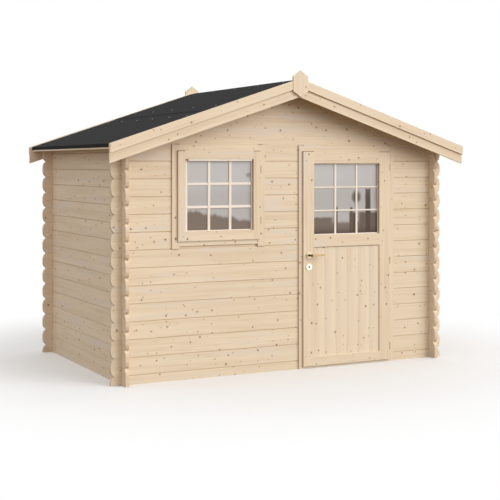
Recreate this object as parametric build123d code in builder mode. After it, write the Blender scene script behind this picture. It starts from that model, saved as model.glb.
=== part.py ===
from build123d import *
import os
from math import acos, cos, radians, sin, tan

os.makedirs("parts", exist_ok=True)

# Wall logs: tongue and groove, with bevelled edges and rounded ends
log_height = 133.0
log_thickness = 28.0
log_bevel = 4.0
tongue_width = 9.0
tongue_height = 8.0
groove_spare = 1.0
log_clearance = 0.5
end_overhang = 84.0
end_round_radius = 50.0
end_round_depth = 27.0
end_round_steps = 2
notch_share = 1 / 4
half_share = 1 / 2

# Plan of the shed, over the outer faces of the walls
shed_width = 2800.0
shed_depth = 1750.0
full_rows = 13
top_log_share = 0.66

# Roof: pitch in degrees, with the boards lying on the side walls
roof_pitch = 18.3
eave_overhang = 146.0
front_overhang = 199.0
back_overhang = 120.0
board_thickness = 18.0
felt_thickness = 3.0
felt_turn_down = 26.0
felt_lap_share = 1 / 2
eave_strip_thickness = 18.0
eave_strip_height = 42.0

# Purlins that carry the roof boards
ridge_purlin_width = 60.0
ridge_purlin_height = 98.0
side_purlin_width = 45.0
side_purlin_height = 82.0
side_purlin_share = 1 / 2

# Barge boards, their cover strips and the plate over the apex
barge_height = 136.0
barge_thickness = 18.0
barge_rise = 6.5
barge_gap = 1.0
barge_end_reach = 20.0
strip_height = 65.0
strip_thickness = 15.0
apex_plate_width = 132.0
apex_plate_thickness = 19.0
apex_plate_point = 48.0
apex_plate_side = 115.0
apex_plate_foot = 44.0

# Floor inside the walls
bearer_width = 45.0
bearer_height = 30.0
bearer_inset = 60.0
floor_thickness = 18.0
floor_margin = 15.0

# Door and window frames: grooved posts that house the log ends
frame_flange = 12.0
frame_housing = 20.0
frame_clearance = 0.3
settling_gap = 4.0
running_gap = 5.0
lip_thickness = 9.0
lip_overlap = 16.0
frame_head_height = 61.5
glass_thickness = 4.0
glass_recess = 30.0
glass_housing = 5.0

# Door
door_frame_left = 97.0
door_frame_right = 1002.0
lock_jamb_width = 50.0
hinge_jamb_width = 66.0
leaf_thickness = 40.0
stile_width = 98.0
top_rail_height = 98.0
mid_rail_top = 1068.0
mid_rail_height = 94.0
bottom_rail_height = 74.0
panel_thickness = 18.0
panel_recess = 8.0
panel_housing = 8.0
threshold_height = 13.0
threshold_stop_rise = 10.0

# Window
window_frame_left = -1001.0
window_frame_right = -212.0
window_jamb_width = 60.0
window_first_row = 8
sill_height = 72.5
sash_thickness = 40.0
sash_stile_width = 60.0
sash_top_rail_height = 66.0
sash_bottom_rail_height = 72.0
sill_front_height = 52.0
sill_recess = 3.0

# Lift-off hinges with flat leaves
hinge_radius = 6.5
hinge_pin_radius = 4.0
hinge_pin_clearance = 0.05
hinge_half_height = 29.0
hinge_cap = 4.0
hinge_leaf_thickness = 3.0
hinge_leaf_inset = 3.0
hinge_side_gap = 1.0
hinge_washer_gap = 0.5
door_hinge_foot = 109.0
door_hinge_head = 132.0
door_hinge_share = 0.48
window_hinge_inset = 146.5

# Lever handle and lock
handle_height = 910.0
handle_backset = 49.0
lock_drop = 94.0
rose_radius = 25.0
rose_thickness = 8.0
neck_radius = 9.0
neck_clearance = 0.3
neck_reach = 44.0
spindle_radius = 4.5
spindle_clearance = 1.5
lever_length = 112.0
lever_tip_radius = 6.0
lever_thickness = 11.0

# Planes and lines worked out from the sizes above
half_width = shed_width / 2
half_depth = shed_depth / 2
inner_half_width = half_width - log_thickness
inner_half_depth = half_depth - log_thickness
slope = tan(radians(roof_pitch))
plumb = 1 / cos(radians(roof_pitch))
eave_half = half_width + eave_overhang
eave_height = (full_rows + top_log_share) * log_height
ridge_height = eave_height + slope * half_width
front_roof_edge = -half_depth - front_overhang + barge_thickness
back_roof_edge = half_depth + back_overhang - barge_thickness
board_top = ridge_height + board_thickness * plumb
felt_top = board_top + felt_thickness * plumb
barge_top = felt_top + barge_rise
frame_front = -half_depth - frame_flange
frame_back = -inner_half_depth + frame_flange
frame_top = (full_rows + half_share) * log_height - settling_gap
head_top = frame_top + settling_gap - log_clearance
lip_back = frame_front - running_gap
leaf_front = lip_back - lip_thickness
lip_middle = (lip_back + leaf_front) / 2
end_round_angle = acos(1 - end_round_depth / end_round_radius)
end_round_rise = end_round_radius * sin(end_round_angle)


# Height of a roof line at a distance from the ridge
def roof_line(ridge, distance):
    return ridge - slope * abs(distance)


# A closed outline of straight edges, in the open sketch
def outline(*points, mode=Mode.ADD):
    with BuildLine() as edge:
        Polyline(*points, close=True)
    make_face(edge.line, mode=mode)


# A rectangle from its low and high corners, in the open sketch
def patch(low, high, mode=Mode.ADD):
    outline(low, (high[0], low[1]), high, (low[0], high[1]), mode=mode)


# A straight bar of the given section, in the open part
def bar(plane, length, *points):
    with BuildSketch(plane) as section:
        outline(*points)
    extrude(section.sketch, amount=length)


# A block from its low and high corners, in the open part
def block(low, high, mode=Mode.ADD):
    with BuildSketch(Plane.XY.offset(low[2])) as base:
        patch(low[:2], high[:2])
    extrude(base.sketch, amount=high[2] - low[2], mode=mode)


# Groove for a pane or panel, cut into the open part with room to fit
def housing(low, high):
    base = tuple(at - frame_clearance for at in low)
    top = tuple(at + frame_clearance for at in high)
    block(base, top, mode=Mode.SUBTRACT)


# Name a finished piece and write its file
def keep(builder, name):
    builder.part.label = name
    export_step(builder.part, f"parts/{name}.step")


# Low and high edge of a row: end walls start with half a log, side walls with a whole one
def end_row(row):
    return max(0, (row - half_share) * log_height), (row + half_share) * log_height


def side_row(row):
    return row * log_height, (row + 1) * log_height


# Points round a corner of a log's end; way is 1 at its top and -1 at its foot
def end_round(half_length, edge, way):
    points = []
    for step in range(end_round_steps + 1):
        angle = end_round_angle * step / end_round_steps
        inset = end_round_radius * (1 - cos(angle))
        rise = end_round_radius * sin(angle) - end_round_rise
        points.append((half_length - inset, edge + way * rise))
    return points


# One log seen from outside, with rounded ends
def log_face(low, high, half_length):
    foot = end_round(half_length, low, -1) if low > 0 else [(half_length, low)]
    right = foot[::-1] + end_round(half_length, high, 1)
    left = [(-along, up) for along, up in reversed(right)]
    outline(*right, *left)


# Notches where the crossing wall's logs pass through, at both ends of a log
def corner_notches(low, high, crossing, lower_notch):
    depth = notch_share * log_height
    for side in (-1, 1):
        outer = side * (crossing + log_clearance)
        inner = side * (crossing - log_thickness - log_clearance)
        edges = sorted((outer, inner))
        if lower_notch:
            patch((edges[0], low), (edges[1], low + depth), mode=Mode.SUBTRACT)
        patch((edges[0], high - depth), (edges[1], high), mode=Mode.SUBTRACT)


# Tongues, grooves and bevels along the logs of a wall, from corner to corner
def mill_logs(plane, length, face, inward, edges):
    middle = face + inward * log_thickness / 2
    tongue = tongue_width / 2
    groove = tongue + log_clearance
    faces = (face, inward), (face + inward * log_thickness, -inward)
    with BuildSketch(plane) as tongues:
        for _, high in edges:
            patch((middle - tongue, high), (middle + tongue, high + tongue_height))
    extrude(tongues.sketch, amount=length)
    with BuildSketch(plane) as cuts:
        for low, high in edges:
            if low > 0:
                patch((middle - groove, low), (middle + groove, low + tongue_height + groove_spare))
            for edge, way in ((low, 1), (high, -1)):
                for side, turn in faces:
                    if edge > 0:
                        corner = (side, edge)
                        outline(corner, (side + turn * log_bevel, edge), (side, edge + way * log_bevel))
    extrude(cuts.sketch, amount=length, mode=Mode.SUBTRACT)


# Trim the open wall to the underside of the roof
def trim_to_roof():
    half_length = half_width + end_overhang
    half_span = half_depth + end_overhang
    foot = roof_line(ridge_height, half_length)
    with BuildSketch(Plane.XZ.offset(half_span)) as gable:
        slopes = (half_length, foot), (0, ridge_height), (-half_length, foot)
        outline((-half_length, 0), (half_length, 0), *slopes)
    extrude(gable.sketch, amount=-2 * half_span, mode=Mode.INTERSECT)


# Logs of an end wall: gable rows stand between the side walls, purlins and openings are left free
def end_wall(name, face, inward, rows, openings):
    joint_half = inner_half_width - log_clearance
    edges = [end_row(row) for row in rows]
    with BuildPart() as wall:
        with BuildSketch(Plane.XZ.offset(-face)):
            for row, (low, high) in zip(rows, edges):
                if row > full_rows:
                    patch((-joint_half, low), (joint_half, high))
                else:
                    log_face(low, high, half_width + end_overhang)
                    corner_notches(low, high, half_width, row > 0)
        extrude(amount=-inward * log_thickness)
        mill_logs(Plane.YZ.offset(-joint_half), 2 * joint_half, face, inward, edges)
        with BuildSketch(Plane.XZ.offset(-face)):
            for low, high in openings:
                patch(low, high)
            for middle, width, height in purlin_seats:
                seat = roof_line(ridge_height, middle) - height
                half = width / 2 + log_clearance
                patch((middle - half, seat), (middle + half, ridge_height))
        extrude(amount=-inward * log_thickness, mode=Mode.SUBTRACT)
        trim_to_roof()
    keep(wall, name)


# Logs of a side wall
def side_wall(name, face, inward, rows):
    joint_half = inner_half_depth - log_clearance
    edges = [side_row(row) for row in rows]
    with BuildPart() as wall:
        with BuildSketch(Plane.YZ.offset(face)):
            for low, high in edges:
                log_face(low, high, half_depth + end_overhang)
                corner_notches(low, high, half_depth, True)
        extrude(amount=inward * log_thickness)
        mill_logs(Plane.XZ.offset(joint_half), -2 * joint_half, face, inward, edges)
        trim_to_roof()
    keep(wall, name)


side_purlin_place = side_purlin_share * half_width
purlin_seats = (
    (0, ridge_purlin_width, ridge_purlin_height),
    (-side_purlin_place, side_purlin_width, side_purlin_height),
    (side_purlin_place, side_purlin_width, side_purlin_height),
)
window_foot = end_row(window_first_row)[0]
opening_top = end_row(full_rows)[1] + tongue_height
front_openings = (
    ((door_frame_left + frame_housing, 0), (door_frame_right - frame_housing, opening_top)),
    ((window_frame_left + frame_housing, window_foot), (window_frame_right - frame_housing, opening_top)),
)
last_row = int((ridge_height / log_height) + half_share)
end_rows = {"even": range(0, last_row + 1, 2), "odd": range(1, last_row + 1, 2)}
side_rows = {"even": range(0, full_rows + 1, 2), "odd": range(1, full_rows + 1, 2)}
for order in ("even", "odd"):
    end_wall(f"front_wall_logs_{order}", -half_depth, 1, end_rows[order], front_openings)
    end_wall(f"back_wall_logs_{order}", half_depth, -1, end_rows[order], ())
    side_wall(f"left_wall_logs_{order}", -half_width, 1, side_rows[order])
    side_wall(f"right_wall_logs_{order}", half_width, -1, side_rows[order])

# Floor bearers, fixed between the side walls, and the floor on them
floor_half_width = inner_half_width - floor_margin
floor_half_depth = inner_half_depth - floor_margin
bearer_place = floor_half_depth - bearer_inset
with BuildPart() as floor_bearers:
    for place in (-bearer_place, 0, bearer_place):
        block(
            (-inner_half_width, place - bearer_width / 2, 0),
            (inner_half_width, place + bearer_width / 2, bearer_height),
        )
keep(floor_bearers, "floor_bearers")

floor_top = bearer_height + floor_thickness
with BuildPart() as floor:
    block(
        (-floor_half_width, -floor_half_depth, bearer_height),
        (floor_half_width, floor_half_depth, floor_top),
    )
keep(floor, "floor_boards")

# Purlins run through both gables to the barge boards
roof_length = back_roof_edge - front_roof_edge
front_roof_plane = Plane.XZ.offset(-front_roof_edge)
with BuildPart() as ridge_purlin:
    half = ridge_purlin_width / 2
    seat = ridge_height - ridge_purlin_height
    side_top = roof_line(ridge_height, half)
    tops = (half, side_top), (0, ridge_height), (-half, side_top)
    bar(front_roof_plane, -roof_length, (-half, seat), (half, seat), *tops)
keep(ridge_purlin, "ridge_purlin")

with BuildPart() as side_purlins:
    for side in (-1, 1):
        place = side * side_purlin_place
        seat = roof_line(ridge_height, place) - side_purlin_height
        low, high = place - side_purlin_width / 2, place + side_purlin_width / 2
        tops = (high, roof_line(ridge_height, high)), (low, roof_line(ridge_height, low))
        bar(front_roof_plane, -roof_length, (low, seat), (high, seat), *tops)
keep(side_purlins, "side_purlins")

# Roof boards, eave strips and felt on each slope
felt_half = eave_half - felt_thickness
boards_half = felt_half - eave_strip_thickness
for side, name in ((-1, "left"), (1, "right")):
    with BuildPart() as roof_boards:
        bar(
            front_roof_plane,
            -roof_length,
            (0, ridge_height),
            (side * boards_half, roof_line(ridge_height, boards_half)),
            (side * boards_half, roof_line(board_top, boards_half)),
            (0, board_top),
        )
    keep(roof_boards, f"roof_boards_{name}")

    strip_top = roof_line(board_top, boards_half)
    with BuildPart() as eave_strip:
        bar(
            front_roof_plane,
            -roof_length,
            (side * boards_half, strip_top - eave_strip_height),
            (side * felt_half, strip_top - eave_strip_height),
            (side * felt_half, roof_line(board_top, felt_half)),
            (side * boards_half, strip_top),
        )
    keep(eave_strip, f"eave_strip_{name}")

    lap = felt_lap_share * eave_half
    with BuildPart() as felt:
        bar(
            front_roof_plane,
            -roof_length,
            (0, board_top),
            (side * felt_half, roof_line(board_top, felt_half)),
            (side * felt_half, roof_line(felt_top, felt_half) - felt_turn_down),
            (side * eave_half, roof_line(felt_top, eave_half) - felt_turn_down),
            (side * eave_half, roof_line(felt_top, eave_half)),
            (side * lap, roof_line(felt_top, lap)),
            (side * lap, roof_line(felt_top, lap) + felt_thickness),
            (0, felt_top + felt_thickness),
        )
    keep(felt, f"roof_felt_{name}")

# Barge boards with cover strips, and the plate over the apex, at each end
barge_half = eave_half + barge_end_reach
barge_foot = barge_top - barge_height * plumb
strip_foot = barge_top - strip_height * plumb
plate_half = apex_plate_width / 2
plate_foot = barge_foot
for name, edge, outward in (("front", front_roof_edge, -1), ("back", back_roof_edge, 1)):
    barge_plane = Plane.XZ.offset(-edge)
    cover_plane = Plane.XZ.offset(-edge - outward * barge_thickness)
    with BuildPart() as barge_boards:
        for side in (-1, 1):
            ends = side * barge_gap / 2, side * barge_half
            feet = [(end, roof_line(barge_foot, end)) for end in ends]
            tops = [(end, roof_line(barge_top, end)) for end in reversed(ends)]
            bar(barge_plane, -outward * barge_thickness, *feet, *tops)
    keep(barge_boards, f"{name}_barge_boards")

    with BuildPart() as barge_strips:
        for side in (-1, 1):
            ends = side * (plate_half + barge_gap / 2), side * barge_half
            feet = [(end, roof_line(strip_foot, end)) for end in ends]
            tops = [(end, roof_line(barge_top, end)) for end in reversed(ends)]
            bar(cover_plane, -outward * strip_thickness, *feet, *tops)
    keep(barge_strips, f"{name}_barge_strips")

    with BuildPart() as apex_plate:
        low = plate_foot + apex_plate_foot
        high = low + apex_plate_side
        right = (plate_half, low), (plate_half, high)
        left = (-plate_half, high), (-plate_half, low)
        points = (0, plate_foot), *right, (0, high + apex_plate_point), *left
        bar(cover_plane, -outward * apex_plate_thickness, *points)
    keep(apex_plate, f"{name}_apex_plate")


# Grooved post that houses log ends; way is 1 for the left post of an opening
def frame_post(edge, way, width, low, high):
    lips = -half_depth - frame_clearance, -inner_half_depth + frame_clearance
    inner = edge + way * width
    bed = edge + way * (frame_housing + frame_clearance)
    bar(
        Plane.XY.offset(low),
        high - low,
        (edge, frame_front),
        (inner, frame_front),
        (inner, frame_back),
        (edge, frame_back),
        (edge, lips[1]),
        (bed, lips[1]),
        (bed, lips[0]),
        (edge, lips[0]),
    )


# Head of a frame, with a tongue that stands in the groove of the log above
def frame_head(left, right, low):
    middle = -half_depth + log_thickness / 2
    half = tongue_width / 2
    bar(
        Plane.YZ.offset(left),
        right - left,
        (frame_front, low),
        (frame_back, low),
        (frame_back, head_top),
        (middle + half, head_top),
        (middle + half, head_top + tongue_height),
        (middle - half, head_top + tongue_height),
        (middle - half, head_top),
        (frame_front, head_top),
    )


# Door frame
door_left = door_frame_left + lock_jamb_width
door_right = door_frame_right - hinge_jamb_width
with BuildPart() as door_jambs:
    frame_post(door_frame_left, 1, lock_jamb_width, 0, frame_top)
    frame_post(door_frame_right, -1, hinge_jamb_width, 0, frame_top)
keep(door_jambs, "door_jambs")

head_foot = frame_top - frame_head_height
with BuildPart() as door_head:
    frame_head(door_left, door_right, head_foot)
keep(door_head, "door_head")

leaf_back = leaf_front + leaf_thickness
stop_face = leaf_back + running_gap
with BuildPart() as threshold:
    bar(
        Plane.YZ.offset(door_left),
        door_right - door_left,
        (frame_front, 0),
        (frame_back, 0),
        (frame_back, floor_top + threshold_stop_rise),
        (stop_face, floor_top + threshold_stop_rise),
        (stop_face, threshold_height),
        (frame_front, threshold_height),
    )
keep(threshold, "door_threshold")

# Door leaf: stiles and rails with a lip that laps the frame
leaf_bottom = threshold_height + running_gap
leaf_top = head_foot + lip_overlap
leaf_left = door_left - lip_overlap
leaf_right = door_right + lip_overlap
lock_stile_edge = leaf_left + stile_width
hinge_stile_edge = leaf_right - stile_width
body_left = door_left + running_gap
body_right = door_right - running_gap
body_top = head_foot - running_gap
glass_front = leaf_front + glass_recess
glass_back = glass_front + glass_thickness
panel_front = leaf_front + panel_recess
panel_back = panel_front + panel_thickness
glass_top = leaf_top - top_rail_height
panel_top = mid_rail_top - mid_rail_height
panel_foot = leaf_bottom + bottom_rail_height
panel_low = (lock_stile_edge - panel_housing, panel_front, panel_foot - panel_housing)
panel_high = (hinge_stile_edge + panel_housing, panel_back, panel_top + panel_housing)
door_glass_low = (lock_stile_edge - glass_housing, glass_front, mid_rail_top - glass_housing)
door_glass_high = (hinge_stile_edge + glass_housing, glass_back, glass_top + glass_housing)
handle_x = leaf_left + handle_backset
lock_height = handle_height - lock_drop
lock_plane = Plane.XZ.offset(-leaf_front)
with BuildPart() as door_stiles:
    for lip, body, inner in (
        (leaf_left, body_left, lock_stile_edge),
        (leaf_right, body_right, hinge_stile_edge),
    ):
        bar(
            Plane.XY.offset(leaf_bottom),
            leaf_top - leaf_bottom,
            (lip, leaf_front),
            (inner, leaf_front),
            (inner, leaf_back),
            (body, leaf_back),
            (body, lip_back),
            (lip, lip_back),
        )
    block((leaf_left, lip_back, body_top), (leaf_right, leaf_back, leaf_top), mode=Mode.SUBTRACT)
    with BuildSketch(lock_plane):
        with Locations((handle_x, handle_height)):
            Circle(spindle_radius + spindle_clearance)
    extrude(amount=-leaf_thickness, mode=Mode.SUBTRACT)
    housing(panel_low, panel_high)
    housing(door_glass_low, door_glass_high)
keep(door_stiles, "door_stiles")

with BuildPart() as door_rails:
    for low, high in ((glass_top, leaf_top), (panel_top, mid_rail_top), (leaf_bottom, panel_foot)):
        block((lock_stile_edge, leaf_front, low), (hinge_stile_edge, leaf_back, high))
    block((lock_stile_edge, lip_back, body_top), (hinge_stile_edge, leaf_back, leaf_top), mode=Mode.SUBTRACT)
    housing(panel_low, panel_high)
    housing(door_glass_low, door_glass_high)
keep(door_rails, "door_rails")

with BuildPart() as door_panel:
    block(panel_low, panel_high)
keep(door_panel, "door_panel")

with BuildPart() as door_glass:
    block(door_glass_low, door_glass_high)
keep(door_glass, "door_glass")

# Window frame
window_left = window_frame_left + window_jamb_width
window_right = window_frame_right - window_jamb_width
window_bottom = window_foot + log_clearance
with BuildPart() as window_jambs:
    frame_post(window_frame_left, 1, window_jamb_width, window_bottom, frame_top)
    frame_post(window_frame_right, -1, window_jamb_width, window_bottom, frame_top)
keep(window_jambs, "window_jambs")

with BuildPart() as window_head:
    frame_head(window_left, window_right, head_foot)
keep(window_head, "window_head")

sill_top = window_foot + sill_height
with BuildPart() as window_sill:
    bar(
        Plane.YZ.offset(window_left),
        window_right - window_left,
        (frame_front, sill_top - sill_front_height),
        (-half_depth + sill_recess, sill_top - sill_front_height),
        (-half_depth + sill_recess, window_bottom),
        (frame_back, window_bottom),
        (frame_back, sill_top),
        (frame_front, sill_top),
    )
keep(window_sill, "window_sill")

# Window sash, closed, with the same lip as the door
sash_back = leaf_front + sash_thickness
sash_left = window_left - lip_overlap
sash_right = window_right + lip_overlap
sash_bottom = sill_top - lip_overlap
sash_top = leaf_top
sash_inner_left = sash_left + sash_stile_width
sash_inner_right = sash_right - sash_stile_width
sash_body_bottom = sill_top + running_gap
sash_glass_top = sash_top - sash_top_rail_height
sash_glass_bottom = sash_bottom + sash_bottom_rail_height
sash_glass_low = (sash_inner_left - glass_housing, glass_front, sash_glass_bottom - glass_housing)
sash_glass_high = (sash_inner_right + glass_housing, glass_back, sash_glass_top + glass_housing)
with BuildPart() as sash_stiles:
    for lip, body, inner in (
        (sash_left, window_left + running_gap, sash_inner_left),
        (sash_right, window_right - running_gap, sash_inner_right),
    ):
        bar(
            Plane.XY.offset(sash_bottom),
            sash_top - sash_bottom,
            (lip, leaf_front),
            (inner, leaf_front),
            (inner, sash_back),
            (body, sash_back),
            (body, lip_back),
            (lip, lip_back),
        )
    for low, high in ((sash_bottom, sash_body_bottom), (body_top, sash_top)):
        block((sash_left, lip_back, low), (sash_right, sash_back, high), mode=Mode.SUBTRACT)
    housing(sash_glass_low, sash_glass_high)
keep(sash_stiles, "window_sash_stiles")

with BuildPart() as sash_rails:
    for low, high in ((sash_bottom, sash_glass_bottom), (sash_glass_top, sash_top)):
        block((sash_inner_left, leaf_front, low), (sash_inner_right, sash_back, high))
    for low, high in ((sash_bottom, sash_body_bottom), (body_top, sash_top)):
        block((sash_inner_left, lip_back, low), (sash_inner_right, sash_back, high), mode=Mode.SUBTRACT)
    housing(sash_glass_low, sash_glass_high)
keep(sash_rails, "window_sash_rails")

with BuildPart() as window_glass:
    block(sash_glass_low, sash_glass_high)
keep(window_glass, "window_glass")


# A round bar along Z, in the open part
def post(x, y, low, high, radius, mode=Mode.ADD):
    with BuildSketch(Plane.XY.offset(low)) as section:
        with Locations((x, y)):
            Circle(radius)
    extrude(section.sketch, amount=high - low, mode=mode)


# Leaf of a hinge that goes back to the frame
def frame_leaf(x, low, high):
    half = hinge_leaf_thickness / 2
    block((x - half, lip_middle, low + hinge_leaf_inset), (x + half, frame_front, high - hinge_leaf_inset))


# Leaf of a hinge that goes sideways to the lip
def lip_leaf(x, low, high):
    half = hinge_leaf_thickness / 2
    edge = x - hinge_radius - hinge_side_gap
    block((edge, lip_middle - half, low + hinge_leaf_inset), (x, lip_middle + half, high - hinge_leaf_inset))


door_hinge_x = leaf_right + hinge_radius + hinge_side_gap
lowest_hinge = leaf_bottom + door_hinge_foot
highest_hinge = leaf_top - door_hinge_head
middle_hinge = lowest_hinge + door_hinge_share * (highest_hinge - lowest_hinge)
door_hinge_heights = lowest_hinge, middle_hinge, highest_hinge
with BuildPart() as door_hinge_pins:
    for height in door_hinge_heights:
        low, high = height - hinge_half_height, height - hinge_washer_gap
        post(door_hinge_x, lip_middle, low, high, hinge_radius)
        post(door_hinge_x, lip_middle, high, height + hinge_half_height - hinge_cap, hinge_pin_radius)
        frame_leaf(door_hinge_x, low, high)
keep(door_hinge_pins, "door_hinge_pins")

with BuildPart() as door_hinge_knuckles:
    for height in door_hinge_heights:
        high = height + hinge_half_height
        post(door_hinge_x, lip_middle, height, high, hinge_radius)
        lip_leaf(door_hinge_x, height, high)
        bore = hinge_pin_radius + hinge_pin_clearance
        post(door_hinge_x, lip_middle, height, high - hinge_cap + hinge_washer_gap, bore, mode=Mode.SUBTRACT)
keep(door_hinge_knuckles, "door_hinge_knuckles")

window_hinge_x = sash_right + hinge_radius + hinge_side_gap
window_hinge_heights = sash_bottom + window_hinge_inset, sash_top - window_hinge_inset
with BuildPart() as window_hinges:
    for height in window_hinge_heights:
        low, high = height - hinge_half_height, height + hinge_half_height
        post(window_hinge_x, lip_middle, low, high, hinge_radius)
        frame_leaf(window_hinge_x, low, height)
        lip_leaf(window_hinge_x, height, high)
keep(window_hinges, "window_hinges")

# Roses and lock plates on both faces of the lock stile
faces = ((leaf_front, -1), (leaf_back, 1))
with BuildPart() as handle_roses:
    for face, outward in faces:
        with BuildSketch(Plane.XZ.offset(-face)):
            with Locations((handle_x, handle_height)):
                Circle(rose_radius)
                Circle(neck_radius + neck_clearance, mode=Mode.SUBTRACT)
        extrude(amount=-outward * rose_thickness)
keep(handle_roses, "handle_roses")

with BuildPart() as lock_plates:
    for face, outward in faces:
        with BuildSketch(Plane.XZ.offset(-face)):
            with Locations((handle_x, lock_height)):
                Circle(rose_radius)
        extrude(amount=-outward * rose_thickness)
keep(lock_plates, "lock_plates")

# Lever on each side, on one spindle
with BuildPart() as door_handle:
    with BuildSketch(lock_plane):
        with Locations((handle_x, handle_height)):
            Circle(spindle_radius)
    extrude(amount=-leaf_thickness)
    for face, outward in faces:
        with BuildSketch(Plane.XZ.offset(-face)):
            with Locations((handle_x, handle_height)):
                Circle(neck_radius)
        extrude(amount=-outward * neck_reach)
        lever_face = face + outward * neck_reach
        with BuildSketch(Plane.XZ.offset(-lever_face)):
            with Locations((handle_x, handle_height)):
                Circle(neck_radius)
            with Locations((handle_x + lever_length, handle_height)):
                Circle(lever_tip_radius)
            make_hull()
        extrude(amount=-outward * lever_thickness)
keep(door_handle, "door_handle")
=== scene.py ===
import math

import bpy
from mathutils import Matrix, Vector


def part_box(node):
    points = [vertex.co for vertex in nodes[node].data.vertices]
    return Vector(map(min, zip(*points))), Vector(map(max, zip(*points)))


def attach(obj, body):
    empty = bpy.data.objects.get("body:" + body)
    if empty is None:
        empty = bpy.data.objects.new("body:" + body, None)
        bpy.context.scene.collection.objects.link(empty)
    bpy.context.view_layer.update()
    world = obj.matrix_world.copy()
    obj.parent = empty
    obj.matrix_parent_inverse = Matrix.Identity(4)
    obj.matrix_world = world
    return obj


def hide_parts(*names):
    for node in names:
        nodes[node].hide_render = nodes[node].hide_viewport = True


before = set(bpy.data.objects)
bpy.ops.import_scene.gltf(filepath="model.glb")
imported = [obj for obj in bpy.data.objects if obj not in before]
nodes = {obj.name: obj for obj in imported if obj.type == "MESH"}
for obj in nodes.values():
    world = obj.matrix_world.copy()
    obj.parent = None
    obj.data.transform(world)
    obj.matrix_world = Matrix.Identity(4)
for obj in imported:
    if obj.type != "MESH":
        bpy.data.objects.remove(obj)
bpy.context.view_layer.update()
print("frame loaded:", len(nodes), "CAD nodes")


class Wire:  # a node socket that takes Python arithmetic, in shader and geometry trees alike
    def __init__(self, tree, socket=None):
        self.tree, self.socket = tree, socket

    def node(self, kind, settings=None, inputs=None, out=0):
        made = self.tree.nodes.new(kind)
        for key, value in (settings or {}).items():
            setattr(made, key, value)
        for key, value in (inputs or {}).items():
            if isinstance(value, Wire):
                self.tree.links.new(value.socket, made.inputs[key])
            else:
                made.inputs[key].default_value = value
        return Wire(self.tree, made.outputs[out] if len(made.outputs) else None)

    def out(self, key):  # another output of the same node
        return Wire(self.tree, self.socket.node.outputs[key])

    def maths(self, operation, *values):
        return self.node("ShaderNodeMath", {"operation": operation}, dict(enumerate(values)))

    def __add__(self, other):
        return self.maths("ADD", self, other)

    def __sub__(self, other):
        return self.maths("SUBTRACT", self, other)

    def __rsub__(self, other):
        return self.maths("SUBTRACT", other, self)

    def __mul__(self, other):
        return self.maths("MULTIPLY", self, other)

    def __truediv__(self, other):
        return self.maths("DIVIDE", self, other)

    def __rtruediv__(self, other):
        return self.maths("DIVIDE", other, self)

    def __abs__(self):
        return self.maths("ABSOLUTE", self)

    def __neg__(self):
        return self.maths("MULTIPLY", self, -1)

    __radd__ = __add__
    __rmul__ = __mul__


def fade(value, low, high):  # 0 below low, 1 above high, smooth between
    ends = {"Value": value, "From Min": low, "From Max": high}
    return value.node("ShaderNodeMapRange", {"interpolation_type": "SMOOTHSTEP"}, ends)


def tint(factor, first, second):
    return factor.node("ShaderNodeMix", {"data_type": "RGBA"}, {0: factor, 6: first, 7: second}, 2)


def dim(colour, share):  # a colour scaled by a wire
    return colour.node("ShaderNodeVectorMath", {"operation": "SCALE"}, {"Vector": colour, "Scale": share})


def vector(start, x, y, z):
    return start.node("ShaderNodeCombineXYZ", {}, {0: x, 1: y, 2: z})


def split(start, place):
    parts = start.node("ShaderNodeSeparateXYZ", {}, {0: place})
    return parts, parts.out(1), parts.out(2)


def noise(start, place, scale=1.0, detail=2.0, roughness=0.5):
    values = {"Vector": place, "Scale": scale, "Detail": detail, "Roughness": roughness}
    return start.node("ShaderNodeTexNoise", {}, values)


def rgb(red, green, blue):
    return (red, green, blue, 1.0)


def newMaterial(name):
    made = bpy.data.materials.new(name)
    made.use_nodes = True
    made.node_tree.nodes.clear()
    start = Wire(made.node_tree)
    return made, start, start.node("ShaderNodeTexCoord", {}, {}, "Object")


def finishMaterial(start, shader):
    start.node("ShaderNodeOutputMaterial", {}, {"Surface": shader})


def lengthOf(spot):
    return spot.node("ShaderNodeVectorMath", {"operation": "LENGTH"}, {0: spot}, "Value")


def bumpOf(height, strength, depth):
    return height.node("ShaderNodeBump", {}, {"Strength": strength, "Distance": depth, "Height": height})


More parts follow.
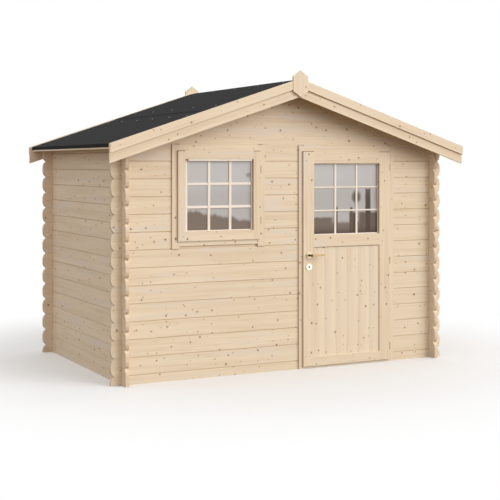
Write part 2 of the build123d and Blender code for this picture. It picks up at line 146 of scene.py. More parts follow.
# spruce
spruce = {
    "pale": rgb(0.826, 0.680, 0.506),
    "warm": rgb(0.720, 0.550, 0.376),
    "streak": rgb(0.540, 0.365, 0.215),
    "cool": rgb(0.775, 0.655, 0.542),
    "knot": rgb(0.115, 0.040, 0.010),
    "heart": rgb(0.210, 0.090, 0.032),  # middle of a knot
    "endGrain": rgb(0.760, 0.600, 0.430),
    "ring": rgb(0.620, 0.455, 0.300),
    "paintedShade": rgb(0.420, 0.265, 0.145),  # painted shade on faces turned down or to a gap
    # four layers of grain: repeats a metre along and across, detail, start and end of the fade, strength
    "broad": (0.9, 26.0, 3.0, 0.40, 0.70, 0.50),
    "fine": (2.5, 110.0, 2.0, 0.50, 0.72, 0.26),
    "patch": (1.3, 5.0, 1.0, 0.40, 0.75, 0.20),
    "stain": (1.4, 15.0, 2.0, 0.55, 0.66, 0.75),
    "stainShift": 4.0,
    "knots": (  # spacing along and across the grain, share kept, smallest radius and its spread in spacings
        (0.124, 0.108, 0.44, 0.034, 0.038),
        (0.071, 0.059, 0.19, 0.032, 0.034),
    ),
    "moreKnots": 0.22,  # added to the share kept in knotty logs
    "knottyFade": 0.02,
    "edgeSize": 95.0,  # unevenness of a knot's outline
    "knotEdge": (0.55, 0.90),  # smallest share of the radius and the spread
    "knotTone": (0.60, 0.40),  # palest knot and the spread
    "knotHeart": 0.25,  # these three in shares of the radius
    "knotCore": 0.75,
    "knotHalo": 2.8,
    "haloTone": 0.22,
    "rimTone": (0.7, 0.3),  # shares of the rim and the fine grain in a knot's colour
    "grainBend": 0.006,  # metres that a knot pushes the grain aside
    "trunk": 9.0,  # metres of trunk that boards are cut from
    "boardSeed": (3.17, 0.71),
    "boardTone": (0.98, 0.04),  # darkest board and the spread
    "jointTone": 0.25,
    "jointCore": 0.4,  # share of a joint's width that has its full tone
    "jointFade": 0.01,
    "paintedShadeLine": (0.008, 0.003, 0.75),  # painted shade line below a top edge: start and end of the fade below the top, strength
    "ringSize": 150.0,
    "ringHeart": (0.4, 0.03, 1.5),  # place in shares of the board, depth in metres, wobble
    "ringTone": 0.5,
    "ends": (0.75, 0.95, 0.8),  # faces across the grain: start and end of the fade, strength
    "endward": (0.25, 0.40),  # rounded faces towards them
    # painted shade on faces turned down: start and end of the fade, strength; the next line fades it in on
    # faces turned to a gap
    "down": (0.10, 0.70, 0.50),
    "sideways": (0.80, 0.95),
    "relief": (0.6, 0.4, 0.3),  # fine grain, broad grain and sunk knots
    "bump": (0.25, 0.0015),  # strength, depth in metres
    "roughness": (0.62, 0.15),  # smoothest grain and the spread
    "gloss": 0.25,
}
primed = dict(
    spruce,
    pale=rgb(0.930, 0.835, 0.735),
    warm=rgb(0.880, 0.770, 0.650),
    cool=rgb(0.900, 0.820, 0.740),
    knots=(),
)
xWay, yWay, zWay = (1.0, 0.0, 0.0), (0.0, 1.0, 0.0), (0.0, 0.0, 1.0)


def spruceMaterial(name, along, across, depth, boardWidth, boardStart, tones=spruce, mirror=False,
                   joint=0.0, jointTop=0.0, paintedShadeLine=0.0, sideShade=0.0, figure=1.0, endShade=0.0, knotty=0.0):
    made, start, place = newMaterial(name)
    facing = place.out("Normal")  # turns with the piece
    if mirror:  # both slopes of the roof share one grain
        x, y, z = split(start, place)
        place = vector(start, abs(x), y, z)

    def measure(axis, spot=place):
        return start.node("ShaderNodeVectorMath", {"operation": "DOT_PRODUCT"}, {0: spot, 1: axis}, "Value")

    def grain(layer, height, shift=0.0):
        lengthwise, crosswise, detail = tones[layer][:3]
        spot = vector(start, own * lengthwise + shift, height * crosswise, deep * crosswise)
        return noise(start, spot, detail=detail)

    def cover(layer, pattern, share=1.0):
        low, high, strength = tones[layer][3:]
        return fade(pattern, low, high) * (strength * share)

    run, rise, deep = measure(along), measure(across), measure(depth)
    board = (rise - boardStart) / boardWidth
    row = board.maths("FLOOR", board)
    inside = board - row
    seedStep, seedStart = tones["boardSeed"]
    seed = {"W": row * seedStep + seedStart}
    chance = start.node("ShaderNodeTexWhiteNoise", {"noise_dimensions": "1D"}, seed)
    own = run + chance * tones["trunk"]  # each board has its own stretch of trunk

    knot = halo = rim = chance * 0.0  # nothing until a layer of knots is drawn
    uneven = noise(start, place, tones["edgeSize"])
    edgeLeast, edgeSpread = tones["knotEdge"]
    toneLeast, toneSpread = tones["knotTone"]
    for length, width, share, smallest, spread in tones["knots"]:
        spot = {"Vector": vector(start, own / length, rise / width, 0.0), "Scale": 1.0}
        cells = start.node("ShaderNodeTexVoronoi", {"voronoi_dimensions": "2D"}, spot, "Distance")
        luck = start.node("ShaderNodeSeparateColor", {}, {0: cells.out("Color")})
        if knotty:  # logs above this height hold more knots
            share = share + fade(rise, knotty, knotty + tones["knottyFade"]) * tones["moreKnots"]
        kept = luck.maths("LESS_THAN", luck, share)
        radius = (smallest + luck.out(1) * spread) * (edgeLeast + uneven * edgeSpread)
        core, tone = radius * tones["knotCore"], toneLeast + luck.out(2) * toneSpread
        knot = knot.maths("MAXIMUM", knot, (1.0 - fade(cells, core, radius)) * kept * tone)
        halo = halo.maths("MAXIMUM", halo, (1.0 - fade(cells, radius, radius * tones["knotHalo"])) * kept)
        rim = rim.maths("MAXIMUM", rim, fade(cells, radius * tones["knotHeart"], core) * kept)

    bent = rise + halo * tones["grainBend"]  # grain bends round a knot
    broad, fine = grain("broad", bent), grain("fine", bent)
    patch, stain = grain("patch", rise), grain("stain", rise, tones["stainShift"])
    colour = tint(cover("broad", broad, figure), tones["pale"], tones["warm"])
    colour = tint(cover("fine", fine, figure), colour, tones["streak"])
    colour = tint(cover("patch", patch), colour, tones["warm"])
    colour = tint(cover("stain", stain), colour, tones["cool"])
    boardLeast, boardSpread = tones["boardTone"]
    colour = dim(colour, boardLeast + chance * boardSpread)
    colour = tint(halo * tones["haloTone"], colour, tones["streak"])
    rimShare, fineShare = tones["rimTone"]
    colour = tint(knot, colour, tint(rim * rimShare + fine * fineShare, tones["heart"], tones["knot"]))
    if joint:  # brown line where two boards meet
        edge = (0.5 - abs(inside - 0.5)) * boardWidth
        line = 1.0 - fade(edge, joint * tones["jointCore"], joint)
        if jointTop:  # none above this height
            line = line * (1.0 - fade(rise, jointTop - tones["jointFade"], jointTop))
        colour = tint(line * tones["jointTone"], colour, tones["streak"])
    if paintedShadeLine:  # painted shade line along the top of a piece, where the gap above a stile or the rail above the panel would shade it
        lineFrom, lineTo, lineTone = tones["paintedShadeLine"]
        colour = tint(fade(run, paintedShadeLine - lineFrom, paintedShadeLine - lineTo) * lineTone, colour, tones["knot"])

    ringAcross, ringDeep, ringWobble = tones["ringHeart"]
    middle = vector(start, 0.0, (inside - ringAcross) * boardWidth, deep - ringDeep)
    spot = {"Vector": middle, "Scale": tones["ringSize"], "Distortion": ringWobble}
    rings = {"wave_type": "RINGS", "rings_direction": "X"}
    ring = start.node("ShaderNodeTexWave", rings, spot, "Fac")
    endFrom, endTo, endTone = tones["ends"]
    ends = fade(abs(measure(along, facing)), endFrom, endTo) * endTone
    colour = tint(ends, colour, tint(ring * tones["ringTone"], tones["endGrain"], tones["ring"]))
    endward = fade(abs(measure(along, facing)), *tones["endward"])
    downFrom, downTo, downTone = tones["down"]
    # painted shade on faces turned down, with endShade adding more or less of it on the rounded ends of
    # logs
    paintedShade = fade(-measure(zWay, facing), downFrom, downTo) * (downTone + endward * endShade)
    colour = tint(paintedShade, colour, tones["paintedShade"])
    if sideShade:  # painted shade on faces turned to a gap beside the piece
        sideways = fade(abs(measure(across, facing)), *tones["sideways"])
        colour = tint(sideways * sideShade, colour, tones["paintedShade"])

    fineRelief, broadRelief, knotRelief = tones["relief"]
    bump = bumpOf(fine * fineRelief + broad * broadRelief - knot * knotRelief, *tones["bump"])
    smoothest, roughSpread = tones["roughness"]
    shader = {"Base Color": colour, "Roughness": smoothest + fine * roughSpread, "Normal": bump}
    shader["Specular IOR Level"] = tones["gloss"]
    finishMaterial(start, start.node("ShaderNodeBsdfPrincipled", {}, shader))
    return made


logRow = 0.133
gableFoot = 13.5 * logRow  # the logs above this height are planed flush
logLine = 0.006  # brown line between two logs
boardRow, boardLine = 0.096, 0.004  # boards of the roof and the floor
pitch = math.radians(18.3)  # of the roof
slopeWay = (math.cos(pitch), 0.0, -math.sin(pitch))
slopeUp = (math.sin(pitch), 0.0, math.cos(pitch))
panelLow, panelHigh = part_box("door_panel")
panelHousing = 0.008  # depth of the panel in its grooves
panelTop = panelHigh.z - panelHousing
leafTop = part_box("door_stiles")[1].z
# ways along the grain, across it and into the board, then a board's width and where the first one starts
woods = {
    "endLogs": spruceMaterial(
        "endWallLogs", xWay, zWay, yWay, logRow, -logRow / 2,
        joint=logLine, jointTop=gableFoot - logLine, endShade=0.35, knotty=gableFoot,
    ),
    "sideLogs": spruceMaterial(
        "sideWallLogs", yWay, zWay, xWay, logRow, 0.0, joint=logLine, endShade=-0.25,
    ),
    "upright": spruceMaterial("uprightJoinery", zWay, xWay, yWay, 0.41, -0.02, sideShade=0.5),
    "stile": spruceMaterial("stiles", zWay, xWay, yWay, 0.37, 0.05, sideShade=0.5, paintedShadeLine=leafTop),
    "panel": spruceMaterial(
        "panelBoards", zWay, xWay, yWay, 0.40, panelLow.x, paintedShadeLine=panelTop, figure=0.55,
    ),
    "level": spruceMaterial("levelJoinery", xWay, zWay, yWay, 0.47, 0.02),
    "uprightBars": spruceMaterial("uprightBars", zWay, xWay, yWay, 0.19, 0.0, primed),
    "crossBars": spruceMaterial("crossBars", xWay, zWay, yWay, 0.19, 0.0, primed),
    "eave": spruceMaterial("eaveTimber", yWay, zWay, xWay, 0.9, 0.1),
    "barge": spruceMaterial("bargeBoards", slopeWay, slopeUp, yWay, 0.9, 0.0, mirror=True),
    "lining": spruceMaterial(
        "roofLining", slopeWay, yWay, slopeUp, boardRow, 0.0, mirror=True, joint=boardLine,
    ),
    "floor": spruceMaterial("floorBoards", yWay, xWay, zWay, boardRow, 0.0, joint=boardLine),
}
print("spruce materials:", len(woods))

# felt, metal and glass
felt = {
    "dark": rgb(0.011, 0.011, 0.011),
    "light": rgb(0.024, 0.024, 0.024),
    "grit": (420.0, 3.0, 0.7),  # scale, detail and roughness of the noise
    "cloud": (2.2, 3.0),
    "gritFade": (0.35, 0.70),
    "gritTone": 0.7,
    "cloudTone": 0.3,
    "bump": (0.5, 0.001),  # strength, depth in metres
    "roughness": (0.90, 0.08),
    "gloss": 0.12,
}


def feltMaterial():
    made, start, place = newMaterial("mineralFelt")
    grit, cloud = noise(start, place, *felt["grit"]), noise(start, place, *felt["cloud"])
    mixed = fade(grit, *felt["gritFade"]) * felt["gritTone"] + cloud * felt["cloudTone"]
    smoothest, roughSpread = felt["roughness"]
    shader = {
        "Base Color": tint(mixed, felt["dark"], felt["light"]),
        "Roughness": smoothest + cloud * roughSpread,
        "Normal": bumpOf(grit, *felt["bump"]),
        "Specular IOR Level": felt["gloss"],
    }
    finishMaterial(start, start.node("ShaderNodeBsdfPrincipled", {}, shader))
    return made


metal = {
    "detail": 3.0,  # of the brushed lines
    "dull": 0.72,  # share of the colour that dull lines keep
    "lineFade": (0.3, 0.7),
    "lineTone": 0.5,
    "wornSize": 60.0,
    "wornSpread": 0.12,
    "hub": rgb(0.030, 0.022, 0.014),
    "hubFade": (0.9, 1.3, 0.85),  # start and end in hub radii, strength
}


def metalMaterial(name, base, roughness, brush, hub=None):
    made, start, place = newMaterial(name)
    x, y, z = split(start, place)
    lines = noise(start, vector(start, x * brush[0], y * brush[1], z * brush[2]), detail=metal["detail"])
    worn = noise(start, place, metal["wornSize"])
    dull = rgb(*(metal["dull"] * part for part in base[:3]))
    colour = tint(fade(lines, *metal["lineFade"]) * metal["lineTone"], base, dull)
    if hub:  # darker round a turning middle
        hubX, hubZ, radius = hub
        inner, outer, strength = metal["hubFade"]
        reach = lengthOf(vector(start, x - hubX, 0.0, z - hubZ))
        colour = tint((1.0 - fade(reach, radius * inner, radius * outer)) * strength, colour, metal["hub"])
    shader = {"Base Color": colour, "Metallic": 1.0, "Roughness": roughness + worn * metal["wornSpread"]}
    finishMaterial(start, start.node("ShaderNodeBsdfPrincipled", {}, shader))
    return made


pane = {  # what both panes share
    "paintedBright": rgb(0.480, 0.452, 0.436),  # painted reflection on the panes, from the top down
    "paintedHaze": rgb(0.515, 0.486, 0.470),
    "low": rgb(0.220, 0.168, 0.132),
    "deep": rgb(0.062, 0.036, 0.022),
    "hazeFade": (0.15, 0.75),  # heights in shares of the pane
    "deepFrom": -0.05,
    "rimFade": 0.03,
    "rolling": (8.0, 2.0, 0.55),  # swells across a pane, detail and roughness of the noise
    "waver": (24.0, 0.03),  # scale of the uneven outlines, and how far they stray
    "streakSide": (0.3, 0.7, 1.15),  # share of the waver, start and end of the fade in half widths
    "streakTop": (0.03, 0.01),  # fade below and above the top
    "spotWaver": 14.0,
    "spotFade": (0.45, 1.10),
    "ripple": (3.0, 1.0),
    "roughness": (0.04, 0.04),
    "gloss": 0.4,
    "through": rgb(0.93, 0.96, 0.95),
    "clear": (0.06, 0.02),  # least see-through share and the spread
}
windowPane = {  # shapes of the painted reflection, in shares of the pane
    "rim": (0.30, 0.13),  # top of the painted low tone at left and right
    "swell": 0.15,
    "deepTo": 0.06,  # height at which the darkest tone has faded
    "paintedStreaks": (),
    "paintedSpots": ((0.96, 0.77, 0.075, 0.045, 0.60),),
}
doorPane = {
    "rim": (0.175, 0.175),
    "swell": 0.03,
    "deepTo": 0.16,
    "paintedStreaks": (  # painted dark streaks: middle, half width, top, strength
        (0.12, 0.21, 0.258, 0.20),
        (0.87, 0.19, 0.320, 0.45),
        (0.61, 0.055, 0.320, 0.75),
        (0.59, 0.020, 0.390, 0.60),
        (0.37, 0.015, 0.405, 0.65),
        (0.844, 0.044, 0.650, 0.85),
    ),
    "paintedSpots": (  # painted dark spots: middle across and up, half width, half height, strength
        (0.665, 0.525, 0.085, 0.105, 0.85),
    ),
}


# clear glass whose colour holds a painted reflection: a bright top, a darker low band, dark streaks and
# spots
def glassMaterial(name, glassNode, shape):
    made, start, place = newMaterial(name)
    low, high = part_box(glassNode)
    x, _, z = split(start, place)
    across = (x - low.x) / (high.x - low.x)
    height = (z - low.z) / (high.z - low.z)
    swells, detail, roughness = pane["rolling"]
    rolling = noise(start, vector(start, across * swells, 0.0, 0.0), detail=detail, roughness=roughness)
    waverSize, waverReach = pane["waver"]
    waver = (noise(start, place, waverSize) - 0.5) * waverReach
    left, right = shape["rim"]
    edge = left + across * (right - left) + (rolling - 0.5) * shape["swell"]
    colour = tint(fade(height, *pane["hazeFade"]), pane["paintedHaze"], pane["paintedBright"])
    paintedLowTone = tint(fade(height, pane["deepFrom"], shape["deepTo"]), pane["deep"], pane["low"])
    colour = tint(1.0 - fade(height - edge, -pane["rimFade"], pane["rimFade"]), colour, paintedLowTone)
    waverShare, inner, outer = pane["streakSide"]
    fadeBelow, fadeAbove = pane["streakTop"]
    for middle, halfWidth, top, strength in shape["paintedStreaks"]:
        aside = abs(across - middle + waver * waverShare)
        side = 1.0 - fade(aside, halfWidth * inner, halfWidth * outer)
        reach = side * (1.0 - fade(height + waver, top - fadeBelow, top + fadeAbove))
        colour = tint(reach, colour, tint(reach * strength, paintedLowTone, pane["deep"]))
    for middle, level, halfWidth, halfHeight, strength in shape["paintedSpots"]:
        stray = waver * pane["spotWaver"]
        far = vector(start, (across - middle) / halfWidth, (height - level) / halfHeight, stray)
        colour = tint((1.0 - fade(lengthOf(far), *pane["spotFade"])) * strength, colour, pane["deep"])
    ripple = noise(start, place, *pane["ripple"])
    smoothest, roughSpread = pane["roughness"]
    shader = {"Base Color": colour, "Roughness": smoothest + ripple * roughSpread}
    shader["Specular IOR Level"] = pane["gloss"]
    body = start.node("ShaderNodeBsdfPrincipled", {}, shader)
    through = start.node("ShaderNodeBsdfTransparent", {}, {"Color": pane["through"]})
    clearLeast, clearSpread = pane["clear"]
    mixed = {0: clearLeast + ripple * clearSpread, 1: body, 2: through}
    finishMaterial(start, start.node("ShaderNodeMixShader", {}, mixed))
    return made


evenBrush = (200.0, 200.0, 200.0)  # brushed lines a metre in x, y and z
leverHub = (0.180, 0.910, 0.010)  # x and z of the spindle, radius in metres
leverBronze = rgb(0.400, 0.285, 0.150)
finishes = {
    "felt": feltMaterial(),
    "hinge": metalMaterial("dullHinge", rgb(0.640, 0.480, 0.310), 0.55, (40.0, 40.0, 400.0)),
    "lever": metalMaterial("bronzeLever", leverBronze, 0.24, (30.0, 300.0, 300.0), leverHub),
    "rose": metalMaterial("goldRose", rgb(0.640, 0.520, 0.340), 0.38, evenBrush),
    "plate": metalMaterial("satinPlate", rgb(0.920, 0.840, 0.680), 0.42, evenBrush),
    # painted dark as the shade inside a keyhole
    "slot": metalMaterial("keyholeShade", rgb(0.030, 0.026, 0.022), 0.50, evenBrush),
    "nail": metalMaterial("zincNail", rgb(0.330, 0.335, 0.340), 0.60, evenBrush),
    "windowPane": glassMaterial("windowPane", "window_glass", windowPane),
    "doorPane": glassMaterial("doorPane", "door_glass", doorPane),
}
print("other finishes:", len(finishes))

wearing = {
    woods["endLogs"]: (
        "front_wall_logs_even", "front_wall_logs_odd", "back_wall_logs_even", "back_wall_logs_odd",
    ),
    woods["sideLogs"]: (
        "left_wall_logs_even", "left_wall_logs_odd", "right_wall_logs_even", "right_wall_logs_odd",
    ),
    woods["upright"]: ("door_jambs", "window_jambs", "front_apex_plate", "back_apex_plate"),
    woods["stile"]: ("door_stiles", "window_sash_stiles"),
    woods["panel"]: ("door_panel",),
    woods["level"]: (
        "door_head", "door_threshold", "door_rails",
        "window_head", "window_sill", "window_sash_rails", "floor_bearers",
    ),
    woods["eave"]: ("ridge_purlin", "side_purlins", "eave_strip_left", "eave_strip_right"),
    woods["barge"]: ("front_barge_boards", "back_barge_boards", "front_barge_strips", "back_barge_strips"),
    woods["lining"]: ("roof_boards_left", "roof_boards_right"),
    woods["floor"]: ("floor_boards",),
    finishes["felt"]: ("roof_felt_left", "roof_felt_right"),
    finishes["hinge"]: ("door_hinge_pins", "door_hinge_knuckles", "window_hinges"),
    finishes["lever"]: ("door_handle",),
    finishes["rose"]: ("handle_roses",),
    finishes["plate"]: ("lock_plates",),
    finishes["windowPane"]: ("window_glass",),
    finishes["doorPane"]: ("door_glass",),
}
for look, names in wearing.items():
    for name in names:
        nodes[name].data.materials.clear()
        nodes[name].data.materials.append(look)
print("dressed nodes:", sum(len(names) for names in wearing.values()))


# geometry trees
def newTree(name, inputs):  # a geometry tree, the wire that starts it and a wire for each named input
    tree = bpy.data.node_groups.new(name, "GeometryNodeTree")
    tree.interface.new_socket("Geometry", in_out="OUTPUT", socket_type="NodeSocketGeometry")
    for label, kind in inputs.items():
        tree.interface.new_socket(label, in_out="INPUT", socket_type="NodeSocket" + kind)
    start = Wire(tree)
    gate = start.node("NodeGroupInput")
    return tree, start, {label: gate.out(label) for label in inputs}


def move(start, shape, place=(0.0, 0.0, 0.0), turn=(0.0, 0.0, 0.0), size=(1.0, 1.0, 1.0)):
    values = {"Geometry": shape, "Translation": place, "Rotation": turn, "Scale": size}
    return start.node("GeometryNodeTransform", {}, values)


def paint(start, shape, look):
    plain = start.node("GeometryNodeRealizeInstances", {}, {0: shape})
    return start.node("GeometryNodeSetMaterial", {}, {"Geometry": plain, "Material": look})


def closeTree(start, shape):
    start.node("NodeGroupOutput", {}, {0: shape})


def lineOf(start, count, first, step):
    values = {"Count": count, "Start Location": first, "Offset": step}
    return start.node("GeometryNodeMeshLine", {"mode": "OFFSET"}, values)


def sectionBar(start, path, width, depth, arris):  # a bar of rounded section along a curve
    section = start.node("GeometryNodeCurvePrimitiveQuadrilateral", {}, {"Width": depth, "Height": width})
    corners = {"Curve": section, "Count": 2, "Radius": arris}
    rounded = start.node("GeometryNodeFilletCurve", {"mode": "POLY"}, corners)
    sweep = {"Curve": path, "Profile Curve": rounded, "Fill Caps": True}
    return start.node("GeometryNodeCurveToMesh", {}, sweep)


def barRow(start, count, first, step, length, width, depth, arris, turn):  # bars of one size, a step apart
    ends = {"Start": vector(start, length * -0.5, 0.0, 0.0), "End": vector(start, length * 0.5, 0.0, 0.0)}
    path = start.node("GeometryNodeCurvePrimitiveLine", {}, ends)
    solid = sectionBar(start, path, width, depth, arris)
    values = {"Points": lineOf(start, count, first, step), "Instance": solid, "Rotation": (0.0, turn, 0.0)}
    return start.node("GeometryNodeInstanceOnPoints", {}, values)


def join(start, *shapes):
    joined = start.tree.nodes.new("GeometryNodeJoinGeometry")
    for shape in shapes:
        start.tree.links.new(shape.socket, joined.inputs[0])
    return Wire(start.tree, joined.outputs[0])


def makePiece(name, tree, values, body, standsFor=()):
    piece = bpy.data.objects.new(name, bpy.data.meshes.new(name))
    bpy.context.scene.collection.objects.link(piece)
    maker = piece.modifiers.new("maker", "NODES")
    maker.node_group = tree
    for item in tree.interface.items_tree:
        if item.in_out == "INPUT":
            maker[item.identifier] = values[item.name]
    bpy.context.view_layer.update()
    shape = bpy.data.meshes.new_from_object(piece.evaluated_get(bpy.context.evaluated_depsgraph_get()))
    piece.modifiers.remove(maker)
    piece.data = shape
    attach(piece, body)
    if standsFor:
        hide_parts(*standsFor)
    print("made", name, len(shape.polygons), "faces")


quarter = math.pi / 2


def glazingTree():
    lengths = ("Width", "Height", "Upright", "Cross", "Left", "Right", "Top", "Foot")
    depths = ("Depth", "TopDepth", "Step", "Back", "Arris")
    kinds = dict.fromkeys(lengths + depths, "Float")
    kinds.update({"Columns": "Int", "Rows": "Int", "Place": "Vector"})
    kinds.update({"UprightLook": "Material", "CrossLook": "Material"})
    tree, start, size = newTree("glazingBars", kinds)
    width, height, depth, arris = size["Width"], size["Height"], size["Depth"], size["Arris"]
    inWidth, inHeight = width - size["Left"] - size["Right"], height - size["Top"] - size["Foot"]
    column, storey = inWidth / size["Columns"], inHeight / size["Rows"]
    leftEdge, footEdge = size["Left"] - width / 2.0, size["Foot"] - height / 2.0
    middleX, middleZ = (size["Left"] - size["Right"]) / 2.0, (size["Foot"] - size["Top"]) / 2.0
    thin = depth - size["Step"]
    thinner = thin - size["Step"] / 2.0

    def spot(x, z, y=0.0):
        return vector(start, x, y, z)

    still = (0.0, 0.0, 0.0)
    topBack = (depth - size["TopDepth"]) / 2.0
    uprights = (
        barRow(start, size["Columns"] - 1.0, spot(leftEdge + column, middleZ), spot(column, 0.0),
               inHeight, size["Upright"], depth, arris, quarter),
        barRow(start, size["Columns"] - 1.0, spot(leftEdge + column, 0.0, size["Back"]), spot(column, 0.0),
               height, size["Upright"], thin, arris, quarter),
        barRow(start, 1, spot((size["Left"] - width) / 2.0, 0.0), still,
               height, size["Left"], thin, arris, quarter),
        barRow(start, 1, spot((width - size["Right"]) / 2.0, 0.0), still,
               height, size["Right"], thin, arris, quarter),
    )
    crosses = (
        barRow(start, size["Rows"] - 1.0, spot(middleX, footEdge + storey), spot(0.0, storey),
               inWidth, size["Cross"], thin, arris, 0.0),
        barRow(start, size["Rows"] - 1.0, spot(0.0, footEdge + storey, size["Back"]), spot(0.0, storey),
               width, size["Cross"], thinner, arris, 0.0),
        barRow(start, 1, spot(middleX, (height - size["Top"]) / 2.0, topBack), still,
               inWidth, size["Top"], size["TopDepth"], arris, 0.0),
        barRow(start, 1, spot(middleX, (size["Foot"] - height) / 2.0), still,
               inWidth, size["Foot"], thin, arris, 0.0),
    )
    painted = (
        paint(start, join(start, *uprights), size["UprightLook"]),
        paint(start, join(start, *crosses), size["CrossLook"]),
    )
    closeTree(start, move(start, join(start, *painted), size["Place"]))
    return tree


glazing = glazingTree()
glassHousing = 0.005  # depth of the panes in their grooves
windowBars = {
    "Columns": 3,
    "Rows": 3,
    "Upright": 0.022,
    "Cross": 0.020,
    "Left": 0.026,  # beads round the pane
    "Right": 0.013,
    "Top": 0.015,
    "Foot": 0.008,
    "Depth": 0.007,
    "TopDepth": 0.026,
    "Step": 0.002,  # how much prouder the uprights are than the cross bars
    "Arris": 0.0015,
}
doorBars = dict(windowBars, Upright=0.017, Cross=0.012, Left=0.010, Right=0.006, Top=0.008, TopDepth=0.012)


def glazeOpening(name, glassNode, sizes, body):
    low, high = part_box(glassNode)
    middle = (low + high) / 2
    values = dict(sizes, UprightLook=woods["uprightBars"], CrossLook=woods["crossBars"])
    values["Width"] = high.x - low.x - 2 * glassHousing
    values["Height"] = high.z - low.z - 2 * glassHousing
    values["Place"] = (middle.x, low.y - sizes["Depth"] / 2, middle.z)
    values["Back"] = high.y - low.y + sizes["Depth"] - sizes["Step"] / 2  # from outer bars to inner ones
    makePiece(name, glazing, values, body)


glazeOpening("window_glazing_bars", "window_glass", windowBars, "shed")
glazeOpening("door_glazing_bars", "door_glass", doorBars, "door")


def boardTree():
    kinds = dict.fromkeys(("Width", "Height", "Thickness", "Arris"), "Float")
    kinds.update({"Boards": "Int", "Place": "Vector", "Material": "Material"})
    tree, start, size = newTree("boardedPanel", kinds)
    board = size["Width"] / size["Boards"]
    first = vector(start, (board - size["Width"]) / 2.0, 0.0, 0.0)
    row = barRow(start, size["Boards"], first, vector(start, board, 0.0, 0.0),
                 size["Height"], board, size["Thickness"], size["Arris"], quarter)
    closeTree(start, paint(start, move(start, row, size["Place"]), size["Material"]))
    return tree


doorBoards = {
    "Boards": 6,
    "Arris": 0.00015,
    "Width": panelHigh.x - panelLow.x,
    "Height": panelHigh.z - panelLow.z,
    "Thickness": panelHigh.y - panelLow.y,
    "Place": tuple((panelLow + panelHigh) / 2),
    "Material": woods["panel"],
}
makePiece("door_panel_boards", boardTree(), doorBoards, "door", ("door_panel",))

keyholes = {
    "Plug": 0.0092,
    "Collar": 0.0028,
    "CollarArris": 0.3,  # in shares of the collar, as the next three are
    "PlugDepth": 0.6,
    "SlotDepth": 0.9,
    "SlotArris": 0.1,
    "Slot": 0.0056,  # half its length
    "SlotWidth": 0.4,  # share of that
    "Sides": 40,
    "Metal": finishes["plate"],
    "HoleShade": finishes["slot"],
}
plateLow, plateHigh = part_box("lock_plates")
keyholes["Middle"] = ((plateLow.x + plateHigh.x) / 2, plateLow.y, (plateLow.z + plateHigh.z) / 2)
keyholes["Span"] = (0.0, plateHigh.y - plateLow.y, 0.0)


def keyholeTree():
    lengths = ("Plug", "Collar", "CollarArris", "PlugDepth", "SlotDepth", "SlotArris", "Slot", "SlotWidth")
    kinds = dict.fromkeys(lengths, "Float")
    kinds.update({"Sides": "Int", "Middle": "Vector", "Span": "Vector"})
    kinds.update({"Metal": "Material", "HoleShade": "Material"})
    tree, start, size = newTree("keyholes", kinds)
    thick, reach = size["Collar"], size["Slot"]
    ring = {"Resolution": size["Sides"], "Radius": size["Plug"]}
    circle = start.node("GeometryNodeCurvePrimitiveCircle", {}, ring)
    collar = sectionBar(start, circle, thick, thick, thick * size["CollarArris"])
    metal = paint(start, collar, size["Metal"])
    face = {"Vertices": size["Sides"], "Radius": size["Plug"], "Depth": thick * size["PlugDepth"]}
    plug = start.node("GeometryNodeMeshCylinder", {}, face)
    ends = {"Start": vector(start, 0.0, -reach, 0.0), "End": vector(start, 0.0, reach, 0.0)}
    path = start.node("GeometryNodeCurvePrimitiveLine", {}, ends)
    slotDepth, slotArris = thick * size["SlotDepth"], thick * size["SlotArris"]
    slot = sectionBar(start, path, reach * size["SlotWidth"], slotDepth, slotArris)
    # the plug and the slot are painted dark as the keyhole's shade
    dark = paint(start, join(start, plug, slot), size["HoleShade"])
    keyhole = move(start, join(start, metal, dark), turn=(quarter, 0.0, 0.0))
    pair = {"Points": lineOf(start, 2, size["Middle"], size["Span"]), "Instance": keyhole}
    spread = start.node("GeometryNodeInstanceOnPoints", {}, pair)
    closeTree(start, start.node("GeometryNodeRealizeInstances", {}, {0: spread}))
    return tree


makePiece("lock_keyholes", keyholeTree(), keyholes, "door")

feltNails = {
    "Head": 0.0060,
    "Rise": 0.0045,
    "Lap": 0.003,  # step down to the lower sheet of felt
    "Rows": (  # distance from the ridge, how many, and margin to the roof's ends
        (0.060, 5, 0.14),
        (0.640, 5, 0.16),
        (0.890, 6, 0.14),
    ),
    "Material": finishes["nail"],
}


def nailTree():
    tree, start, size = newTree("feltNails", {"Head": "Float", "Rise": "Float", "Material": "Material"})
    ball = start.node("GeometryNodeMeshUVSphere", {}, {"Segments": 12, "Rings": 6, "Radius": 1.0})
    head = move(start, ball, size=vector(start, size["Head"], size["Head"], size["Rise"]))
    low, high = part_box("roof_felt_right")
    lap = (low.x + high.x) / 2
    rows = []
    for side in (-1, 1):
        for away, count, margin in feltNails["Rows"]:
            top = high.z - math.tan(pitch) * away - (feltNails["Lap"] if away > lap else 0.0)
            step = (high.y - low.y - 2 * margin) / (count - 1)
            line = lineOf(start, count, (side * away, low.y + margin, top), (0.0, step, 0.0))
            values = {"Points": line, "Instance": head, "Rotation": (0.0, side * pitch, 0.0)}
            rows.append(start.node("GeometryNodeInstanceOnPoints", {}, values))
    closeTree(start, paint(start, join(start, *rows), size["Material"]))
    return tree


makePiece("felt_nails", nailTree(), feltNails, "shed")

gableStrips = {  # they fill the bevels between the gable's logs
    "Bevel": 0.004,
    "Skin": 0.0008,
    "Arris": 0.0001,
    "Face": 0.875,  # outer face of the end walls, from the middle
    "Inset": 0.0005,  # from that face to a strip's middle
    "Half": 1.3715,  # half the length of the end walls between the corners
    "Short": 0.02,  # how far a strip ends before the slope
    "Over": 0.0007,  # how far the strips over the frames reach past the heads
    "Joints": 3,
    "Material": woods["endLogs"],
}


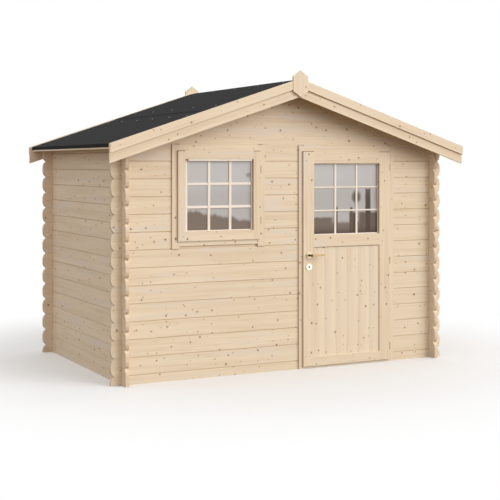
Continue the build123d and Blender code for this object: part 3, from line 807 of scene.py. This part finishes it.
def gableTree():
    kinds = {"Bevel": "Float", "Skin": "Float", "Arris": "Float", "Material": "Material"}
    tree, start, size = newTree("gableStrips", kinds)
    wallHalf, wallFace = gableStrips["Half"], gableStrips["Face"] - gableStrips["Inset"]
    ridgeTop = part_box("ridge_purlin")[1].z
    strips = []

    def strip(face, level, left, right, way, height=size["Bevel"]):
        middle = vector(start, (left + right) / 2, face, height * (way / 2) + level)
        still = (0.0, 0.0, 0.0)
        length, thick, arris = right - left, size["Skin"], size["Arris"]
        strips.append(barRow(start, 1, middle, still, length, height, thick, arris, 0.0))

    frames = [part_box(name) for name in ("window_jambs", "door_jambs")]
    edges = [-wallHalf] + [corner.x for box in frames for corner in box] + [wallHalf]
    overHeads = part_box("door_head")[1].z - gableFoot + gableStrips["Over"]  # room for the heads' tongues
    for face in (-wallFace, wallFace):
        for row in range(gableStrips["Joints"]):
            level = gableFoot + row * logRow
            reach = min(wallHalf, (ridgeTop - level) / math.tan(pitch) - gableStrips["Short"])
            if row or face > 0:
                strip(face, level, -reach, reach, 1)
                strip(face, level, -reach, reach, -1)
                continue
            for left, right in zip(edges[::2], edges[1::2]):  # the frames stand between these logs
                strip(face, level, left, right, 1)
                strip(face, level, left, right, -1)
            for low, high in frames:
                strip(face, level, low.x, high.x, 1, overHeads)
    closeTree(start, paint(start, join(start, *strips), size["Material"]))
    return tree


makePiece("gable_joint_strips", gableTree(), gableStrips, "shed")

# stage
stage = {
    "half": 60.0,
    "white": rgb(1.0, 1.0, 1.0),
    "pale": rgb(0.88, 0.88, 0.88),
    "dim": rgb(0.17, 0.125, 0.085),  # what the floor throws back at the walls
    "clear": (1.9, 3.6),  # distances between which the floor turns white
}


def seenRays(start):  # 1 where the background shows itself or is mirrored, 0 where it only lights
    rays = start.node("ShaderNodeLightPath")
    mirrored = rays.maths("MAXIMUM", rays.out("Is Glossy Ray"), rays.out("Is Transmission Ray"))
    return rays.maths("MAXIMUM", rays.out("Is Camera Ray"), mirrored)


def floorMaterial():
    made, start, place = newMaterial("paleFloor")
    seen = seenRays(start)
    shade = tint(seen, stage["dim"], stage["pale"])
    values = {"Base Color": shade, "Roughness": 1.0, "Specular IOR Level": 0.0}
    matt = start.node("ShaderNodeBsdfPrincipled", {}, values)
    white = start.node("ShaderNodeEmission", {}, {"Color": stage["white"], "Strength": 1.0})
    share = fade(lengthOf(place), *stage["clear"]) * seen
    finishMaterial(start, start.node("ShaderNodeMixShader", {}, {0: share, 1: matt, 2: white}))
    return made


half = stage["half"]
floorMesh = bpy.data.meshes.new("studioFloor")
corners = [(-half, -half, 0), (half, -half, 0), (half, half, 0), (-half, half, 0)]
floorMesh.from_pydata(corners, [], [(0, 1, 2, 3)])
floorMesh.materials.append(floorMaterial())
studioFloor = bpy.data.objects.new("studioFloor", floorMesh)
bpy.context.scene.collection.objects.link(studioFloor)

light = {"turn": 37.0, "rise": 15.0, "power": 1.95, "angle": 50.0, "sky": 0.96}
sunData = bpy.data.lights.new("softSun", "SUN")
sunData.energy, sunData.angle = light["power"], math.radians(light["angle"])
softSun = bpy.data.objects.new("softSun", sunData)
turn, lift = math.radians(light["turn"]), math.radians(light["rise"])
fromSun = Vector((math.sin(turn) * math.cos(lift), -math.cos(turn) * math.cos(lift), math.sin(lift)))
softSun.rotation_euler = (-fromSun).to_track_quat("-Z", "Y").to_euler()
bpy.context.scene.collection.objects.link(softSun)

world = bpy.data.worlds.new("studioSky")
world.use_nodes = True
world.node_tree.nodes.clear()
air = Wire(world.node_tree)
glow = air.node("ShaderNodeBackground", {}, {"Color": stage["white"], "Strength": light["sky"]})
blank = air.node("ShaderNodeBackground", {}, {"Color": stage["white"], "Strength": 1.0})
mixed = air.node("ShaderNodeMixShader", {}, {0: seenRays(air), 1: glow, 2: blank})
air.node("ShaderNodeOutputWorld", {}, {"Surface": mixed})
bpy.context.scene.world = world

view = {
    "place": (-4.3735, -8.8729, 1.6389),
    "yaw": 27.24,
    "focal": 1143.28,  # in pixels, as the next two are
    "centre": (258.99, 164.41),
    "picture": 500.0,
    "sensor": 36.0,
}
camData = bpy.data.cameras.new("photoCamera")
camData.sensor_width = view["sensor"]
camData.lens = camData.sensor_width * view["focal"] / view["picture"]
camData.shift_x = 0.5 - view["centre"][0] / view["picture"]
camData.shift_y = view["centre"][1] / view["picture"] - 0.5
photoCamera = bpy.data.objects.new("photoCamera", camData)
photoCamera.location = view["place"]
photoCamera.rotation_euler = (quarter, 0.0, -math.radians(view["yaw"]))
bpy.context.scene.collection.objects.link(photoCamera)
bpy.context.scene.camera = photoCamera
bpy.context.scene.view_settings.view_transform = "Standard"
print("stage, light and camera set")
